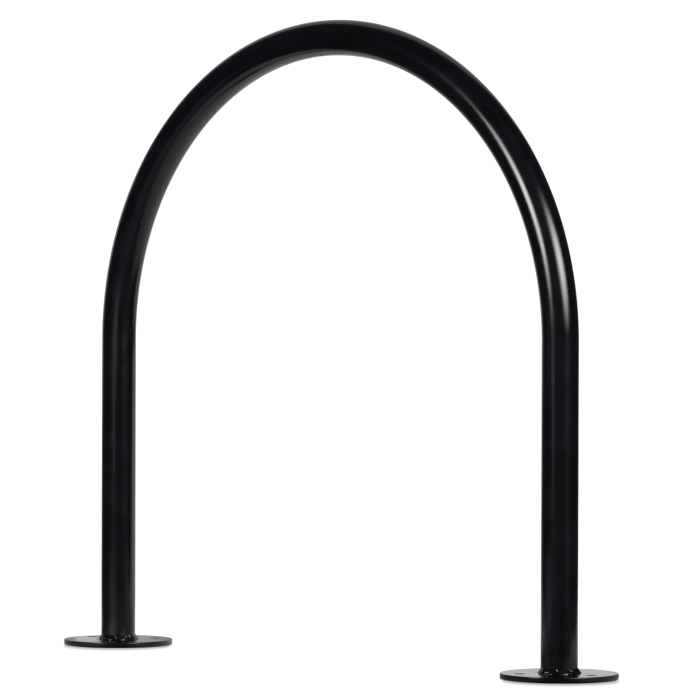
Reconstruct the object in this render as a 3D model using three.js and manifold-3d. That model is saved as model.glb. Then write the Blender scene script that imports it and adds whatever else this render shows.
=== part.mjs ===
// A hoop bike rack that bolts down to a hard surface: one round steel pipe bent
// into an upside-down U, a flat round foot plate under each leg, and a fillet
// weld bead around the foot of each leg.
// Millimetres, +Z up. The origin is on the ground, midway between the legs, and
// the hoop stands in the XZ plane. The left leg is on -X.

import * as THREE from 'three';
import { mergeVertices } from 'three/addons/utils/BufferGeometryUtils.js';
import Module from 'manifold-3d';

// The hoop, measured over its outside
const hoopHeight = 914.4;
const hoopWidth = 914.4;

// The pipe that it is bent from
const pipeDiameter = 50.8;
const pipeWall = 3.05;

// The vent hole drilled into the underside of the arch, a little to the left of the
// arch's top, and turned about the pipe's own axis from its lowest line towards -Y
const ventDiameter = 4.5;
const ventFromTop = THREE.MathUtils.degToRad(1.3);
const ventAside = THREE.MathUtils.degToRad(16.9);

// The foot plates
const plateDiameter = 162;
const plateThickness = 8;
const plateEdgeEase = 0.8;

// The anchor holes, evenly spaced on a circle, with one pointing away from the hoop
const anchorHoleDiameter = 14;
const anchorCircleDiameter = 114.3;
const anchorHoleCount = 3;

// The weld beads. Each is widest at its belly, a share of its height above the plate.
const weldWidth = 5.4;
const weldHeight = 7.2;
const weldBellyShare = 0.39;
const weldGap = 0.3;
const weldRippleCount = 18;
const weldRippleShare = 0.09;

// How finely the round shapes are divided
const archSteps = 36;
const pipeDivisions = 16;
const plateDivisions = 24;
const ventDivisions = 16;
const weldDivisions = 3;
const weldStepsPerRipple = 4;

// The finish of every piece: black powder coat
const coatColour = 0x0f1114;
const coatRoughness = 0.3;

// How far a cutting tool runs past what it cuts
const overrun = 2;

// Sizes that follow from these
const pipeRadius = pipeDiameter / 2;
const archRadius = hoopWidth / 2 - pipeRadius;
const archCentreHeight = hoopHeight - pipeRadius - archRadius;
const hoopSteps = archSteps + 2; // with one for each leg

const wasm = await Module();
wasm.setup();

function coatedPiece(name, geometry) {
  const coat = new THREE.MeshStandardMaterial({ color: coatColour, roughness: coatRoughness, metalness: 0 });
  const piece = new THREE.Mesh(geometry, coat);
  piece.name = name;
  return piece;
}

// A closed geometry as a solid that can be joined and cut.
function toSolid(geometry) {
  geometry.deleteAttribute('normal');
  geometry.deleteAttribute('uv');
  const merged = mergeVertices(geometry);
  const vertProperties = new Float32Array(merged.attributes.position.array);
  const triVerts = new Uint32Array(merged.index.array);
  return new wasm.Manifold(new wasm.Mesh({ numProp: 3, vertProperties, triVerts }));
}

function toGeometry(solid) {
  const mesh = solid.getMesh();
  const geometry = new THREE.BufferGeometry();
  geometry.setAttribute('position', new THREE.BufferAttribute(mesh.vertProperties, 3));
  geometry.setIndex(new THREE.BufferAttribute(mesh.triVerts, 1));
  geometry.computeVertexNormals();
  return geometry;
}

// The pipe's centre line: up the left leg, over the arch and down the right leg.
// Each leg is one step long, and the arch takes the steps between them.
class HoopLine extends THREE.Curve {
  getPoint(t, target = new THREE.Vector3()) {
    const step = t * hoopSteps;
    const alongArch = THREE.MathUtils.clamp(step - 1, 0, archSteps) / archSteps;
    const downLeft = Math.max(1 - step, 0);
    const downRight = Math.max(step - 1 - archSteps, 0);
    const x = -archRadius * Math.cos(Math.PI * alongArch);
    const rise = archRadius * Math.sin(Math.PI * alongArch);
    const drop = (archCentreHeight - plateThickness) * (downLeft + downRight);
    return target.set(x, 0, archCentreHeight + rise - drop);
  }

  // Keeps the steps above, rather than spreading them evenly by length.
  getUtoTmapping(u) {
    return u;
  }
}

// The pipe is open at both ends, which stand square on the foot plates.
function hoopTube() {
  const section = new THREE.Shape();
  section.absarc(0, 0, pipeRadius, 0, 2 * Math.PI);
  const bore = new THREE.Path();
  bore.absarc(0, 0, pipeRadius - pipeWall, 0, 2 * Math.PI);
  section.holes.push(bore);
  const pipe = new THREE.ExtrudeGeometry(section, {
    extrudePath: new HoopLine(),
    steps: hoopSteps,
    curveSegments: pipeDivisions,
  });

  // The drill stands square across the wall of the pipe, pointing at the pipe's axis.
  const drillLength = pipeWall + 2 * overrun;
  const drill = new THREE.CylinderGeometry(ventDiameter / 2, ventDiameter / 2, drillLength, ventDivisions);
  drill.rotateX(Math.PI / 2);
  drill.translate(0, 0, -pipeRadius + pipeWall / 2);
  drill.rotateX(-ventAside);
  drill.translate(0, 0, archRadius);
  drill.rotateY(-ventFromTop);
  drill.translate(0, 0, archCentreHeight);

  return coatedPiece('hoop_tube', toGeometry(toSolid(pipe).subtract(toSolid(drill))));
}

// A disc with anchor holes. Its rims, and the mouths of its holes, are eased.
function footPlate(name) {
  const outline = new THREE.Shape();
  outline.absarc(0, 0, plateDiameter / 2, 0, 2 * Math.PI);
  for (let i = 0; i < anchorHoleCount; i += 1) {
    const around = (2 * Math.PI * i) / anchorHoleCount;
    const x = (anchorCircleDiameter / 2) * Math.cos(around);
    const y = (anchorCircleDiameter / 2) * Math.sin(around);
    const hole = new THREE.Path();
    hole.absarc(x, y, anchorHoleDiameter / 2, 0, 2 * Math.PI);
    outline.holes.push(hole);
  }
  const disc = new THREE.ExtrudeGeometry(outline, {
    depth: plateThickness - 2 * plateEdgeEase,
    bevelThickness: plateEdgeEase,
    bevelSize: plateEdgeEase,
    bevelOffset: -plateEdgeEase,
    bevelSegments: 1,
    curveSegments: plateDivisions,
  });
  disc.translate(0, 0, plateEdgeEase);
  return coatedPiece(name, disc);
}

// A bulging fillet around the leg, resting on the plate. The ripples of its
// passes swell and shrink it as it goes round.
function weldBead(name) {
  const inner = pipeRadius + weldGap;
  const belly = weldHeight * weldBellyShare;
  const crown = weldHeight - belly;
  const toeAngle = -Math.asin(belly / crown);
  const toe = inner + weldWidth * Math.cos(toeAngle);
  const profile = new THREE.Path();
  profile.moveTo(inner, 0);
  profile.lineTo(toe, 0);
  profile.absellipse(inner, belly, weldWidth, crown, toeAngle, Math.PI / 2);
  profile.lineTo(inner, 0);
  const steps = weldRippleCount * weldStepsPerRipple;
  const ring = new THREE.LatheGeometry(profile.getPoints(weldDivisions), steps);
  ring.rotateX(Math.PI / 2);

  const place = ring.attributes.position;
  for (let i = 0; i < place.count; i += 1) {
    const x = place.getX(i);
    const y = place.getY(i);
    const out = Math.hypot(x, y);
    const swell = 1 + weldRippleShare * Math.cos(weldRippleCount * Math.atan2(y, x));
    const stretch = (inner + (out - inner) * swell) / out;
    place.setXYZ(i, x * stretch, y * stretch, place.getZ(i) * swell);
  }

  const bead = coatedPiece(name, ring);
  bead.position.z = plateThickness;
  return bead;
}

// The plate and bead under one leg. The left foot is the right one turned half way round.
function foot(side, turn) {
  const group = new THREE.Group();
  group.add(footPlate(`${side}_foot_plate`));
  group.add(weldBead(`${side}_weld_bead`));
  group.position.x = archRadius * Math.cos(turn);
  group.rotation.z = turn;
  return group;
}

const rack = new THREE.Group();
rack.add(hoopTube());
rack.add(foot('left', Math.PI));
rack.add(foot('right', 0));

export default rack;
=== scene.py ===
# The looks of a hoop bike rack: one bent steel pipe, two round foot plates and
# the hand-laid welds that join them, all in gloss black powder coat, in a plain
# white studio. Metres, +Z up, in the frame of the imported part.

from math import asin, atan2, cos, hypot, pi, radians, sin, tan

import bmesh
import bpy
from mathutils import Matrix, Vector, noise


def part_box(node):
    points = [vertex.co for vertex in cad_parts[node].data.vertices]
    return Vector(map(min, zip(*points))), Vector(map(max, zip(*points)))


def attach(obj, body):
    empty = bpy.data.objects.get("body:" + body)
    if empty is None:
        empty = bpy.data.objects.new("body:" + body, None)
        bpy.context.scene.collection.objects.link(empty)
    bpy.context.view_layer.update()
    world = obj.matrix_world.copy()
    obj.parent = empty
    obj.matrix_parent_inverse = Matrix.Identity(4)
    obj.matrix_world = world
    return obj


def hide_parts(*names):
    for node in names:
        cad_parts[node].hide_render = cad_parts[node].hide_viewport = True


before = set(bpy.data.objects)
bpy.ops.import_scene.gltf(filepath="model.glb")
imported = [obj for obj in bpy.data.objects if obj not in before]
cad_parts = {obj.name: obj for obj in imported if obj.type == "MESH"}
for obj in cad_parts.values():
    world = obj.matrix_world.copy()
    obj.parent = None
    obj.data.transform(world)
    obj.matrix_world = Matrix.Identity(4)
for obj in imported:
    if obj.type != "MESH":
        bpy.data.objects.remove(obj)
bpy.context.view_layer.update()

MM = 0.001
UP = Vector((0, 0, 1))

# The pipe and the arch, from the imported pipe's own box
pipe_low, pipe_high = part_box("hoop_tube")
PIPE_RADIUS = pipe_high.y
ARCH_RADIUS = pipe_high.x - PIPE_RADIUS
ARCH_CENTRE = Vector((0, 0, pipe_high.z - PIPE_RADIUS - ARCH_RADIUS))
PLATE_TOP = pipe_low.z
PIPE_WALL = 3.05 * MM
PIPE_SIDES = 64
LEG_RINGS = 6

# The vent hole in the underside of the arch: its angle from the arch's top to the left, and,
# as a number of the pipe's sides, how far round the pipe it lies from the lowest line. It
# replaces a square patch of the pipe's faces, so many cells wide, and its lip lies within so
# many radii of its middle.
VENT_RADIUS = 2.25 * MM
VENT_ANGLE = radians(1.3)
VENT_SIDES_ASIDE = 3
VENT_CELLS = 4
VENT_EASE = 0.3 * MM
VENT_EASE_STEPS = 3
VENT_LIP_RADII = 1.2

# How many steps the arch is bent in before and after that patch
STEPS_BEFORE_VENT = 80
STEPS_AFTER_VENT = 82

# The foot plates
plate_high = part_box("right_foot_plate")[1]
PLATE_RADIUS = plate_high.y
PLATE_EASE = 1.1 * MM
PLATE_EASE_STEPS = 4
PLATE_SIDES = 160
ANCHOR_RADIUS = 7 * MM
ANCHOR_CIRCLE = 57.15 * MM
ANCHOR_COUNT = 3
ANCHOR_SIDES = 48

# The weld beads. They are laid into the pipe and the plate, as a real weld fuses with both.
WELD_WIDTH = 5.0 * MM
WELD_HEIGHT = 7.2 * MM
WELD_TOE = 2.6
WELD_BELLY = 0.3
WELD_BITE = 0.1 * MM
WELD_STEPS = 800
WELD_POINTS = 32
WELD_MERGE = 0.001 * MM
WELD_RISE_SHARE = 0.5
WELD_GRAIN = 0.05 * MM
WELD_GRAIN_SIZE = 2.2 * MM

# The dabs that a weld is laid in: how far each bows and dips, how unevenly they are filled and
# spaced, and the share of each that the next one overlaps
WELD_DABS = 12
DAB_BOW = 0.38
DAB_DIP = 0.19
DAB_DIP_LEAN = 0.75
DAB_DIP_POWER = 4
DAB_OVERLAP = 0.15
DAB_UNEVEN = 0.13
DAB_SWELL_SHARE = 0.5
DAB_SWELL_SCALE = 3.1
DAB_WANDER = 0.9
DAB_WANDER_SCALE = 1.9

# Where dabs and seeds lie in the noise that fills them: one cell apart or more, off its corners
DAB_STRIDE = 1.37
SEED_STRIDE = 3.1
CELL_MIDDLE = 0.5

# Each foot: its side, how far it is turned round, and the seed of its weld
FEET = (("left", pi, 8.34), ("right", 0.0, 1.1))

# Edges that turn by more degrees than this stay sharp in the shading. Rims turn by more than
# the rim angle, and are eased to a round profile. The flat faces of a plate have full weight
# in its shading.
SHARP = 40
WELD_SHARP = 70
RIM_ANGLE = radians(60)
ROUND_PROFILE = 0.5
FULL_WEIGHT = 100

# The coat: two close tones, patches of tone and gloss, orange peel, and nibs of dust under it
COAT_DARK = (0.0004, 0.0005, 0.0007, 1)
COAT_LIGHT = (0.0010, 0.0013, 0.0020, 1)
TONE_SIZE = 60 * MM
TONE_RANGE = (0.35, 0.65)
GLOSS_SIZE = 30 * MM
GLOSS_RANGE = (0.3, 0.7)
GLOSS_CHANGE = 0.03
PEEL_SIZE = 2.6 * MM
NIB_SPACING = 22 * MM
NIB_HEIGHT = 0.06 * MM
NIB_REACH = 0.04

# The camera of the photograph: 700 pixels across a 36 mm sensor
IMAGE_PIXELS = 700
SENSOR = 36.0
FOCAL_PIXELS = 4254.09
CAMERA_AZIMUTH = radians(43.295)
CAMERA_DISTANCE = 6.0736
CAMERA_HEIGHT = 0.4903
CAMERA_AIM = radians(-0.283)
CAMERA_DOWN = radians(0.439)
CAMERA_ROLL = radians(0.176)
CAMERA_REACH = 100

# The studio is laid out from the camera's point of view, in metres and degrees round the hoop:
# across is to the viewer's right, near is towards the camera, and an azimuth of 0 is the
# direction of the camera, growing to the viewer's right.
VIEW = CAMERA_AZIMUTH + CAMERA_AIM
ACROSS = Vector((cos(VIEW), sin(VIEW), 0))
NEAR = Vector((sin(VIEW), -cos(VIEW), 0))

# Radiance of the white that the camera sees, and of the dim room that the coat reflects, and
# the colours of the room, the lamps and the papers
WHITE = 1.1
ROOM = 0.055
ROOM_COLOUR = (0.86, 0.97, 1.12, 1)
NEUTRAL = (1, 1, 1, 1)
COOL = (0.90, 1.0, 1.16, 1)

# Soft glows in the room: azimuth, elevation, spread and strength
ROOM_GLOWS = (
    (0, 5, 75, 0.02),
    (52, -4, 26, 0.075),
    (-24, -33, 38, 0.15),
    (-5, 30, 36, 0.05),
    (30, 65, 22, 0.05),
)

# The lamps stand round one point of the arch
LAMP_AIM = Vector((0.3, 0, 0.72))
LAMP_SIDES = 48

# Spots of painted shadow and painted glare on the floor paper, darker or brighter when seen
# low: across, near, reach and share
FLOOR_SPOTS = (
    (-0.62, -0.36, 0.40, 0.10),
    (0.00, 0.12, 0.55, 0.15),
    (-0.06, -0.20, 0.14, 0.55),
    (0.20, -0.32, 0.30, 0.15),
    (0.13, 0.29, 0.22, 0.55),
    (0.46, 0.20, 0.13, 0.40),
    (0.92, 0.30, 0.30, 2.20),
    (-0.50, -0.04, 0.22, 2.90),
    (-0.16, -0.08, 0.12, 2.60),
)

# Between these shares of Layer Weight's Facing a look at the paper turns from steep to low
LOW_LOOK = (0.75, 0.93)

# A sheet keeps its full brightness over a quarter of its reach, but no further than this
SHEET_CORE = 0.2
SHEET_CORE_SHARE = 0.25

# The white floor: half its width, and how far it lies under the plates. The painted shade in
# front of a plate starts a little behind the plate's rim and spills a little past its sides.
FLOOR_HALF = 60
FLOOR_GAP = 0.3 * MM
SHADE_TUCK = 10 * MM
SHADE_SPILL = 3 * MM

# The back wall of lit paper, and the sheets that hang just in front of it, as near
WALL = -1.7
BEFORE_WALL = -1.69

# The kinds of ray that an object can be hidden from
RAYS = ("camera", "diffuse", "glossy", "transmission", "volume_scatter", "shadow")


def place_camera():
    """Stands the camera where the photograph was taken from."""
    level = cos(CAMERA_DOWN)
    forward = Vector((-sin(VIEW) * level, cos(VIEW) * level, -sin(CAMERA_DOWN)))
    up = ACROSS.cross(forward)
    right_rolled = ACROSS * cos(CAMERA_ROLL) + up * sin(CAMERA_ROLL)
    up_rolled = up * cos(CAMERA_ROLL) - ACROSS * sin(CAMERA_ROLL)
    lens = bpy.data.cameras.new("camera")
    lens.sensor_width = SENSOR
    lens.lens = FOCAL_PIXELS / IMAGE_PIXELS * SENSOR
    lens.clip_end = CAMERA_REACH
    camera = bpy.data.objects.new("camera", lens)
    turn = Matrix((right_rolled, up_rolled, -forward)).transposed().to_4x4()
    spot = Vector((sin(CAMERA_AZIMUTH), -cos(CAMERA_AZIMUTH), 0)) * CAMERA_DISTANCE
    camera.matrix_world = Matrix.Translation(spot + Vector((0, 0, CAMERA_HEIGHT))) @ turn
    bpy.context.scene.collection.objects.link(camera)
    bpy.context.scene.camera = camera


def only(parts, kind):
    """The vertices, edges or faces among the parts of a mesh."""
    return [part for part in parts if isinstance(part, kind)]


def is_rim(edge):
    """Whether two faces meet at an edge in a clear corner."""
    return len(edge.link_faces) == 2 and edge.calc_face_angle() > RIM_ANGLE


def ease(bm, edges, size, steps):
    """Rounds off some edges."""
    bmesh.ops.bevel(
        bm, geom=edges, offset=size, segments=steps, profile=ROUND_PROFILE,
        affect="EDGES", material=-1,
    )


def finish_mesh(name, bm, sharp=SHARP):
    """Turns a bmesh into a smooth-shaded object that keeps its sharp rims."""
    mesh = bpy.data.meshes.new(name)
    bm.to_mesh(mesh)
    bm.free()
    mesh.shade_smooth()
    mesh.set_sharp_from_angle(angle=radians(sharp))
    piece = bpy.data.objects.new(name, mesh)
    bpy.context.scene.collection.objects.link(piece)
    return piece


def underside(along=0, aside=0):
    """A point on the pipe, along and aside of the middle of the vent hole."""
    round_pipe = VENT_SIDES_ASIDE * 2 * pi / PIPE_SIDES + asin(aside / PIPE_RADIUS)
    out = ARCH_RADIUS - PIPE_RADIUS * cos(round_pipe)
    angle = VENT_ANGLE + along / out
    back = -PIPE_RADIUS * sin(round_pipe)
    return ARCH_CENTRE + Vector((-out * sin(angle), back, out * cos(angle)))


def go_straight(bm, ring, rise):
    """Takes the pipe straight up or down from its last ring of edges, to a new last ring."""
    new = bmesh.ops.extrude_edge_only(bm, edges=ring)["geom"]
    bmesh.ops.translate(bm, verts=only(new, bmesh.types.BMVert), vec=(0, 0, rise))
    return only(new, bmesh.types.BMEdge)


def go_round(bm, ring, angle, steps):
    """Takes the pipe round the arch from its last ring of edges, to a new last ring."""
    arch_axis = (0, 1, 0)
    new = bmesh.ops.spin(bm, geom=ring, cent=ARCH_CENTRE, axis=arch_axis, angle=angle, steps=steps)
    return only(new["geom_last"], bmesh.types.BMEdge)


def bend_pipe():
    """One length of hollow pipe: up the left leg, over the arch and down the right leg."""
    bm = bmesh.new()
    foot = Matrix.Translation((-ARCH_RADIUS, 0, PLATE_TOP))
    bmesh.ops.create_circle(bm, segments=PIPE_SIDES, radius=PIPE_RADIUS, matrix=foot)
    ring = bm.edges[:]
    leg_step = (ARCH_CENTRE.z - PLATE_TOP) / LEG_RINGS
    side = 2 * pi * PIPE_RADIUS / PIPE_SIDES
    patch = VENT_CELLS * (side / (ARCH_RADIUS - PIPE_RADIUS))
    before = pi / 2 - VENT_ANGLE - patch / 2

    for _ in range(LEG_RINGS):
        ring = go_straight(bm, ring, leg_step)
    ring = go_round(bm, ring, before, STEPS_BEFORE_VENT)
    ring = go_round(bm, ring, patch, VENT_CELLS)
    ring = go_round(bm, ring, pi - before - patch, STEPS_AFTER_VENT)
    for _ in range(LEG_RINGS):
        ring = go_straight(bm, ring, -leg_step)

    drill_vent(bm, patch)
    bmesh.ops.recalc_face_normals(bm, faces=bm.faces[:])
    bmesh.ops.solidify(bm, geom=bm.faces[:], thickness=PIPE_WALL)
    ease_vent(bm)
    return finish_mesh("bent_pipe", bm)


def drill_vent(bm, patch):
    """Opens a round hole in the arch's underside, joined cleanly to the faces around it."""
    cut = []
    for face in bm.faces:
        spot = face.calc_center_median() - ARCH_CENTRE
        round_pipe = atan2(-spot.y, ARCH_RADIUS - hypot(spot.x, spot.z))
        sides_aside = round_pipe * PIPE_SIDES / (2 * pi)
        along = abs(atan2(-spot.x, spot.z) - VENT_ANGLE)
        if along < patch / 2 and abs(sides_aside - VENT_SIDES_ASIDE) < VENT_CELLS / 2:
            cut.append(face)
    bmesh.ops.delete(bm, geom=cut, context="FACES")
    square = [
        edge for edge in bm.edges
        if edge.is_boundary and min(v.co.z for v in edge.verts) > ARCH_CENTRE.z
    ]
    made = bmesh.ops.create_circle(bm, segments=4 * VENT_CELLS, radius=VENT_RADIUS)
    circle = made["verts"]
    for v in circle:
        v.co = underside(v.co.x, v.co.y)
    rim = list(dict.fromkeys(edge for v in circle for edge in v.link_edges))
    bmesh.ops.bridge_loops(bm, edges=square + rim)


def ease_vent(bm):
    """Rounds the lip of the vent hole, where the coat runs over its edge."""
    middle = underside()
    reach = VENT_RADIUS * VENT_LIP_RADII
    lip = [e for e in bm.edges if (e.verts[0].co - middle).length <= reach and is_rim(e)]
    ease(bm, lip, VENT_EASE, VENT_EASE_STEPS)


def cut_foot_plate(name, centre, turn):
    """A disc with three anchor holes, one of them pointing away from the hoop, and eased rims."""
    bm = bmesh.new()
    bmesh.ops.create_circle(bm, segments=PLATE_SIDES, radius=PLATE_RADIUS)
    for i in range(ANCHOR_COUNT):
        around = 2 * pi * i / ANCHOR_COUNT
        spot = Matrix.Translation((ANCHOR_CIRCLE * cos(around), ANCHOR_CIRCLE * sin(around), 0))
        bmesh.ops.create_circle(bm, segments=ANCHOR_SIDES, radius=ANCHOR_RADIUS, matrix=spot)
    bmesh.ops.triangle_fill(bm, use_beauty=True, edges=bm.edges[:])
    top = bmesh.ops.extrude_face_region(bm, geom=bm.faces[:], use_keep_orig=True)["geom"]
    bmesh.ops.translate(bm, verts=only(top, bmesh.types.BMVert), vec=(0, 0, PLATE_TOP))
    bmesh.ops.recalc_face_normals(bm, faces=bm.faces[:])
    ease(bm, [edge for edge in bm.edges if is_rim(edge)], PLATE_EASE, PLATE_EASE_STEPS)
    place = Matrix.Translation(centre) @ Matrix.Rotation(turn, 4, "Z")
    bmesh.ops.transform(bm, matrix=place, verts=bm.verts[:])
    piece = finish_mesh(name, bm)
    even = piece.modifiers.new("even_shading", "WEIGHTED_NORMAL")
    even.mode = "FACE_AREA"
    even.weight = FULL_WEIGHT
    return piece


def dab_size(number, seed):
    """How full one dab of the weld is."""
    along = number % WELD_DABS * DAB_STRIDE + CELL_MIDDLE
    spot = Vector((along, seed * SEED_STRIDE + CELL_MIDDLE, CELL_MIDDLE))
    return 1 + DAB_UNEVEN * (2 * noise.cell(spot) - 1)


def dab_fullness(around, up, seed):
    """How full the weld is at one place. Each dab swells, and meets the next in a crescent."""
    ring = Vector((cos(around), sin(around), 0))
    wander = noise.noise(ring * DAB_WANDER_SCALE + UP * seed)
    along = WELD_DABS * around / (2 * pi) + DAB_WANDER * wander
    along -= DAB_BOW * sin(pi * up)
    place, number = along % 1.0, int(along // 1)
    over = max(place - (1 - DAB_OVERLAP), 0) / DAB_OVERLAP
    over *= over * (3 - 2 * over)
    full = dab_size(number, seed) * (1 - over) + dab_size(number + 1, seed) * over
    swell = noise.noise(ring * DAB_SWELL_SCALE + UP * (seed + 2 * up))
    full += DAB_SWELL_SHARE * DAB_UNEVEN * swell
    from_middle = abs(2 * place ** DAB_DIP_LEAN - 1)
    return full * (1 - DAB_DIP * sin(pi / 2 * from_middle ** DAB_DIP_POWER))


def weld_outline():
    """The fillet's outline before it is filled unevenly: out from its inner side, and up."""
    yield 0, -WELD_BITE
    yield WELD_WIDTH, -WELD_BITE
    for i in range(WELD_POINTS + 1):
        turn = pi / 2 * i / WELD_POINTS
        belly = 1 + WELD_BELLY * sin(2 * turn) ** 2
        out = max(cos(turn), 0) ** WELD_TOE
        up = sin(turn) ** WELD_TOE
        yield WELD_WIDTH * out * belly, WELD_HEIGHT * up * belly


def fill_out(v, inner, seed):
    """Moves one point of the fillet out and up by the fullness of its dab."""
    around = atan2(v.co.y, v.co.x) % (2 * pi)
    side = Vector((cos(around), sin(around), 0))
    out = v.co.dot(side) - inner
    up = v.co.z
    fullness = dab_fullness(around, atan2(up / WELD_HEIGHT, out / WELD_WIDTH) * 2 / pi, seed)
    if out > 0:
        fullness += WELD_GRAIN / WELD_WIDTH * noise.noise(v.co / WELD_GRAIN_SIZE + UP * seed)
    rise = 1 + WELD_RISE_SHARE * (fullness - 1)
    v.co = side * (inner + out * fullness) + UP * (up * rise if up > 0 else up)


def lay_weld(name, centre, seed):
    """A fillet laid by hand round the foot of a leg, in overlapping dabs."""
    bm = bmesh.new()
    inner = PIPE_RADIUS - WELD_BITE
    verts = [bm.verts.new((inner + out, 0, up)) for out, up in weld_outline()]
    edges = [bm.edges.new(pair) for pair in zip(verts, verts[1:] + verts[:1])]
    bmesh.ops.spin(
        bm, geom=verts + edges, axis=UP, angle=2 * pi, steps=WELD_STEPS, use_merge=True
    )
    bmesh.ops.remove_doubles(bm, verts=bm.verts[:], dist=WELD_MERGE)
    bmesh.ops.recalc_face_normals(bm, faces=bm.faces[:])
    for v in bm.verts:
        fill_out(v, inner, seed)
    bmesh.ops.transform(bm, matrix=Matrix.Translation(centre), verts=bm.verts[:])
    return finish_mesh(name, bm, WELD_SHARP)


def add_node(tree, kind, links=(), **settings):
    """Adds a node, sets its sockets and links others' outputs into it."""
    node = tree.nodes.new(kind)
    for name, value in settings.items():
        setattr(node, name, value)
    for socket, value in links:
        if isinstance(value, bpy.types.NodeSocket):
            tree.links.new(value, node.inputs[socket])
        else:
            node.inputs[socket].default_value = value
    return node


def sums(tree, operation, *values):
    """The result of a sum on numbers."""
    return add_node(tree, "ShaderNodeMath", enumerate(values), operation=operation).outputs[0]


def vector_sums(tree, operation, *values):
    """The result of a sum on vectors: a vector if they are subtracted, and otherwise a number."""
    node = add_node(tree, "ShaderNodeVectorMath", enumerate(values), operation=operation)
    return node.outputs["Vector" if operation == "SUBTRACT" else "Value"]


def ramp(tree, value, low, high, to_low, to_high, kind="SMOOTHSTEP"):
    """Turns a value into another one, over a range."""
    sockets = [("Value", value)]
    sockets += [("From Min", low), ("From Max", high), ("To Min", to_low), ("To Max", to_high)]
    return add_node(tree, "ShaderNodeMapRange", sockets, interpolation_type=kind).outputs["Result"]


def mottle(tree, place, size, detail):
    """Soft random patches of one size."""
    sockets = [("Vector", place), ("Scale", 1 / size), ("Detail", detail)]
    return add_node(tree, "ShaderNodeTexNoise", sockets).outputs["Fac"]


def coat_tone(tree, place):
    """The coat's colour, which varies a little in wide patches."""
    patches = mottle(tree, place, TONE_SIZE, detail=4)
    mixed = ramp(tree, patches, *TONE_RANGE, 0, 1, "LINEAR")
    tones = [(0, mixed), (6, COAT_DARK), (7, COAT_LIGHT)]
    return add_node(tree, "ShaderNodeMix", tones, data_type="RGBA").outputs[2]


def coat_skin(tree, place, peel):
    """The coat's fine relief: orange peel, and a nib here and there."""
    waves = mottle(tree, place, PEEL_SIZE, detail=1)
    orange_peel = [("Strength", 1), ("Distance", peel), ("Height", waves)]
    skin = add_node(tree, "ShaderNodeBump", orange_peel).outputs["Normal"]
    grid = [("Scale", 1 / NIB_SPACING), ("Vector", place)]
    away = add_node(tree, "ShaderNodeTexVoronoi", grid).outputs["Distance"]
    nib = ramp(tree, away, 0, NIB_REACH, 1, 0, "LINEAR")
    nibs = [("Distance", NIB_HEIGHT), ("Height", nib), ("Normal", skin)]
    return add_node(tree, "ShaderNodeBump", nibs).outputs["Normal"]


def powder_coat(name, peel, roughness):
    """Gloss black powder coat: a faint orange peel, fine nibs and a slightly uneven gloss."""
    coat = bpy.data.materials.new(name)
    coat.use_nodes = True
    tree = coat.node_tree
    shader = tree.nodes["Principled BSDF"]
    place = add_node(tree, "ShaderNodeTexCoord").outputs["Object"]
    patches = mottle(tree, place, GLOSS_SIZE, detail=3)
    least, most = roughness - GLOSS_CHANGE, roughness + GLOSS_CHANGE
    gloss = ramp(tree, patches, *GLOSS_RANGE, least, most, "LINEAR")
    tree.links.new(coat_tone(tree, place), shader.inputs["Base Color"])
    tree.links.new(gloss, shader.inputs["Roughness"])
    tree.links.new(coat_skin(tree, place, peel), shader.inputs["Normal"])
    return coat


def dress(piece, node, coat):
    """Gives a finished piece its coat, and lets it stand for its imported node."""
    piece.data.materials.append(coat)
    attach(piece, "root")
    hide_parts(node)


def heading(azimuth, elevation):
    """The direction of something seen from the hoop."""
    a, e = radians(azimuth), radians(elevation)
    return (ACROSS * sin(a) + NEAR * cos(a)) * cos(e) + UP * sin(e)


def studio_spot(across, near, up=0):
    """A place in the studio."""
    return ACROSS * across + NEAR * near + UP * up


def stage_object(name, bm, paint, seen=("glossy",)):
    """Adds a part of the studio that only the named kinds of ray can see."""
    mesh = bpy.data.meshes.new(name)
    bm.to_mesh(mesh)
    bm.free()
    mesh.materials.append(paint)
    thing = bpy.data.objects.new(name, mesh)
    bpy.context.scene.collection.objects.link(thing)
    for ray in RAYS:
        setattr(thing, f"visible_{ray}", ray in seen)
    return thing


def new_paint(name):
    """An empty material, with its tree, its output node and the place on the object."""
    paint = bpy.data.materials.new(name)
    paint.use_nodes = True
    tree = paint.node_tree
    tree.nodes.clear()
    out = tree.nodes.new("ShaderNodeOutputMaterial")
    place = add_node(tree, "ShaderNodeTexCoord").outputs["Object"]
    return paint, tree, out, place


def shine(tree, out, strength, tint):
    """Makes a paint shine."""
    glow = add_node(tree, "ShaderNodeEmission", [("Color", tint), ("Strength", strength)])
    tree.links.new(glow.outputs["Emission"], out.inputs["Surface"])


def softbox(name, azimuth, elevation, wide, high, peak, core, distance=4.0, tint=NEUTRAL):
    """An oval softbox with a bright middle. Wide and high are angles, and core is the share
    of its radius that shines at the peak before it fades."""
    paint, tree, out, place = new_paint(name)
    from_middle = vector_sums(tree, "LENGTH", place)
    shine(tree, out, ramp(tree, from_middle, core, 1, peak, 0), tint)
    bm = bmesh.new()
    bmesh.ops.create_circle(bm, cap_ends=True, segments=LAMP_SIDES, radius=1)
    lamp = stage_object(name, bm, paint, ("diffuse", "glossy"))
    toward = heading(azimuth, elevation)
    size = [distance * tan(radians(angle / 2)) for angle in (wide, high)]
    turn = toward.to_track_quat("Z", "Y")
    lamp.matrix_world = Matrix.LocRotScale(LAMP_AIM + toward * distance, turn, (*size, 1))


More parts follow.
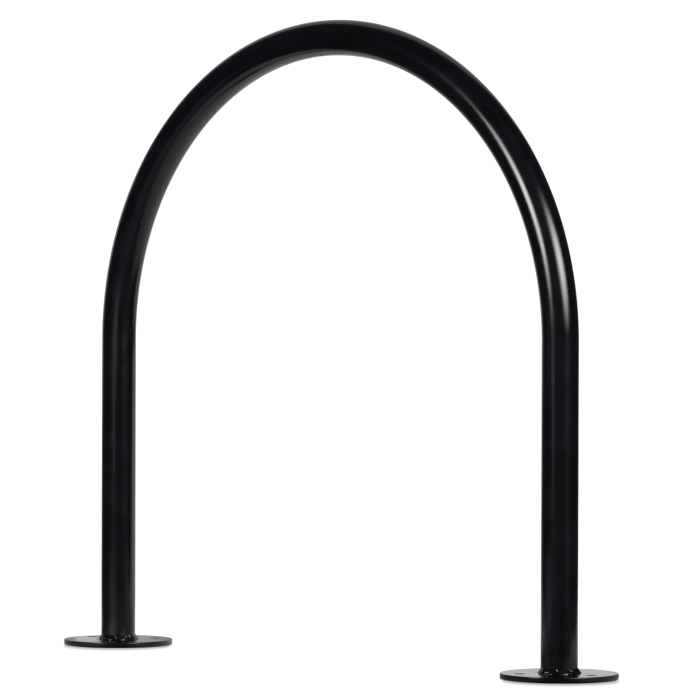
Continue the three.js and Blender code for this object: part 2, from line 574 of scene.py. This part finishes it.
def white_room():
    """A world that is white to the camera, and dim with a few soft glows to the coat."""
    world = bpy.data.worlds.new("room")
    world.use_nodes = True
    bpy.context.scene.world = world
    world.cycles.sampling_method = "NONE"
    tree = world.node_tree
    tree.nodes.clear()
    place = add_node(tree, "ShaderNodeTexCoord").outputs["Generated"]
    total = ROOM
    for azimuth, elevation, spread, strength in ROOM_GLOWS:
        along = vector_sums(tree, "DOT_PRODUCT", place, heading(azimuth, elevation))
        total = sums(tree, "ADD", total, ramp(tree, along, cos(radians(spread)), 1, 0, strength))
    dim = add_node(tree, "ShaderNodeBackground", [("Color", ROOM_COLOUR), ("Strength", total)])
    white = add_node(tree, "ShaderNodeBackground", [("Color", NEUTRAL), ("Strength", WHITE)])
    glossy = add_node(tree, "ShaderNodeLightPath").outputs["Is Glossy Ray"]
    choice = [(0, glossy), (1, white.outputs[0]), (2, dim.outputs[0])]
    either = add_node(tree, "ShaderNodeMixShader", choice)
    out = add_node(tree, "ShaderNodeOutputWorld")
    tree.links.new(either.outputs[0], out.inputs["Surface"])


def foot_shade(tree, place, reach, dark, edge):
    """How much light is left on the floor under a painted shadow that falls off softly in front of
    each foot plate. Reach is how far the painted shade runs out from the plate, and edge how
    softly its sides end."""
    light = 1.0
    for side in (-1, 1):
        spot = vector_sums(tree, "SUBTRACT", place, (side * ARCH_RADIUS, 0, 0))
        across = vector_sums(tree, "DOT_PRODUCT", spot, ACROSS)
        near = vector_sums(tree, "DOT_PRODUCT", spot, NEAR)
        square = sums(tree, "MULTIPLY", across, across)
        rim = sums(tree, "SQRT", sums(tree, "SUBTRACT", PLATE_RADIUS ** 2, square))
        ahead = sums(tree, "SUBTRACT", near, rim)
        aside = sums(tree, "ABSOLUTE", across)
        front = ramp(tree, ahead, -SHADE_TUCK, reach, 1 - dark, 0)
        inside = ramp(tree, aside, PLATE_RADIUS - edge, PLATE_RADIUS + SHADE_SPILL, 1, 0)
        before = ramp(tree, near, -SHADE_TUCK, SHADE_TUCK, 0, 1)
        shade = sums(tree, "MULTIPLY", sums(tree, "MULTIPLY", front, inside), before)
        light = sums(tree, "MULTIPLY", light, sums(tree, "SUBTRACT", 1.0, shade))
    return light


def white_floor():
    """The floor that the camera sees: white, with a painted shadow that darkens it softly in front
    of each foot plate. It lies just under the plates, and from below it is clear."""
    paint, tree, out, place = new_paint("white_floor")
    light = foot_shade(tree, place, reach=0.07, dark=0.4, edge=0.006)
    shown = sums(tree, "MULTIPLY", light, WHITE)
    glow = add_node(tree, "ShaderNodeEmission", [("Strength", shown)])
    clear = add_node(tree, "ShaderNodeBsdfTransparent")
    below = add_node(tree, "ShaderNodeNewGeometry").outputs["Backfacing"]
    choice = [(0, below), (1, glow.outputs[0]), (2, clear.outputs[0])]
    either = add_node(tree, "ShaderNodeMixShader", choice)
    tree.links.new(either.outputs[0], out.inputs["Surface"])
    bm = bmesh.new()
    level = Matrix.Translation((0, 0, -FLOOR_GAP))
    bmesh.ops.create_grid(bm, x_segments=1, y_segments=1, size=FLOOR_HALF, matrix=level)
    stage_object("floor", bm, paint, ("camera",))


def low_look(tree, steep, low):
    """A value that turns from one to another as the paper is seen at a low angle."""
    facing = add_node(tree, "ShaderNodeLayerWeight").outputs["Facing"]
    return ramp(tree, facing, *LOW_LOOK, steep, low)


def front_sheen(tree, _place):
    """The front paper shines only at a low look."""
    return low_look(tree, steep=0.38, low=1)


def floor_shade(tree, place):
    """The painted shadows that the feet throw on the paper, and painted spots of shadow and glare
    on it that show at a grazing look.
    """
    light = foot_shade(tree, place, reach=0.35, dark=0.1, edge=0.05)
    grazing = low_look(tree, steep=0, low=1)
    for across, near, reach, share in FLOOR_SPOTS:
        away = vector_sums(tree, "DISTANCE", place, studio_spot(across, near))
        spot = ramp(tree, away, 0, reach, share - 1, 0)
        light = sums(tree, "MULTIPLY", light, sums(tree, "MULTIPLY_ADD", spot, grazing, 1.0))
    return light


def paper(name, corners, middle, bright, dim, reach, shade=None, tint=NEUTRAL):
    """A flat sheet of lit paper, bright at its middle and dim where its reach ends. Its
    corners and its middle are given as across, near and up."""
    paint, tree, out, place = new_paint(f"{name}_paint")
    away = vector_sums(tree, "DISTANCE", place, studio_spot(*middle))
    core = min(SHEET_CORE, reach * SHEET_CORE_SHARE)
    light = ramp(tree, away, core, reach, bright, dim)
    if shade:
        light = sums(tree, "MULTIPLY", light, shade(tree, place))
    shine(tree, out, light, tint)
    bm = bmesh.new()
    bm.faces.new([bm.verts.new(studio_spot(*corner)) for corner in corners])
    stage_object(name, bm, paint)


def upright(left, right, near, low, high):
    """The corners of an upright sheet that faces the camera."""
    return (left, near, low), (right, near, low), (right, near, high), (left, near, high)


def lay_papers():
    """The paper on the floor, and the strip of it in front on the left."""
    paper(
        "floor_paper",
        ((-0.67, 0.3, 0), (1.0, 0.56, 0), (1.3, WALL, 0), (-1.1, WALL, 0), (-0.72, -0.5, 0)),
        middle=(0.15, -1.0, 0), bright=0.85, dim=0.40, reach=1.6, shade=floor_shade,
    )
    paper(
        "front_paper",
        ((-0.45, 0.4, -0.01), (-2.0, 0.1, -0.01), (-2.0, 2.0, -0.01), (-0.65, 1.9, -0.01)),
        middle=(-1.15, 0.7, 0), bright=0.54, dim=0.17, reach=1.0, shade=front_sheen, tint=COOL,
    )


def hang_papers():
    """The paper on the back wall, with a dark and a lit sheet on it."""
    paper(
        "wall_paper",
        (
            (-1.3, WALL, 0), (1.03, WALL, 0), (1.03, WALL, 1.3),
            (1.45, WALL, 1.9), (1.45, WALL, 5), (-1.3, WALL, 5),
        ),
        middle=(0, WALL, 0.3), bright=0.8, dim=0.45, reach=1.6,
    )
    paper(
        "low_wall", upright(-1.0, -0.47, BEFORE_WALL, 0, 0.4),
        middle=(-0.73, BEFORE_WALL, 0.08), bright=0.08, dim=0.45, reach=0.34,
    )
    paper(
        "left_wall", upright(-2.3, -1.3, BEFORE_WALL, 0.3, 1.2),
        middle=(-1.65, BEFORE_WALL, 0.75), bright=0.75, dim=0.1, reach=0.6,
    )


def stand_cards():
    """The cards that stand close to the feet."""
    # A sheet that is dark at its middle, standing low behind the left half of the hoop
    paper(
        "dark_sheet", upright(-0.4, -0.04, -1.15, 0, 0.26),
        middle=(-0.19, -1.15, 0.06), bright=0.15, dim=0.56, reach=0.15,
    )
    paper(
        "near_card", upright(-0.66, -0.43, 0.4, 0.40, 0.52),
        middle=(-0.54, 0.4, 0.45), bright=0.8, dim=0.25, reach=0.15,
    )
    paper(
        "side_card", ((0.44, -0.38, 0), (0.1, -1.0, 0), (0.1, -1.0, 0.45), (0.4, -0.5, 0.43)),
        middle=(0.36, -0.53, 0.08), bright=0.85, dim=0.6, reach=0.5,
    )


def light_lamps():
    """Two large softboxes in front of the hoop, and the faint foot of the left one."""
    softbox(
        "left_lamp_foot", azimuth=-43.5, elevation=-7.5, wide=30, high=11,
        peak=0.6, core=0.2, distance=3.0, tint=COOL,
    )
    softbox(
        "left_softbox", azimuth=-52, elevation=13.8, wide=40, high=30.5, peak=18.3, core=0.12
    )
    softbox("right_softbox", azimuth=41.5, elevation=21, wide=56, high=47, peak=16.3, core=0)


def build_rack():
    """Makes each piece of the rack and dresses it."""
    smooth_coat = powder_coat("black_powder_coat", peel=0.02 * MM, roughness=0.16)
    weld_coat = powder_coat("coated_weld", peel=0.012 * MM, roughness=0.18)
    dress(bend_pipe(), "hoop_tube", smooth_coat)
    for side, turn, weld_seed in FEET:
        centre = Vector((ARCH_RADIUS * cos(turn), 0, 0))
        plate = cut_foot_plate(f"{side}_plate", centre, turn)
        dress(plate, f"{side}_foot_plate", smooth_coat)
        bead = lay_weld(f"{side}_weld", centre + Vector((0, 0, PLATE_TOP)), weld_seed)
        dress(bead, f"{side}_weld_bead", weld_coat)


place_camera()
bpy.context.scene.view_settings.view_transform = "Standard"
build_rack()
white_room()
white_floor()
lay_papers()
hang_papers()
stand_cards()
light_lamps()
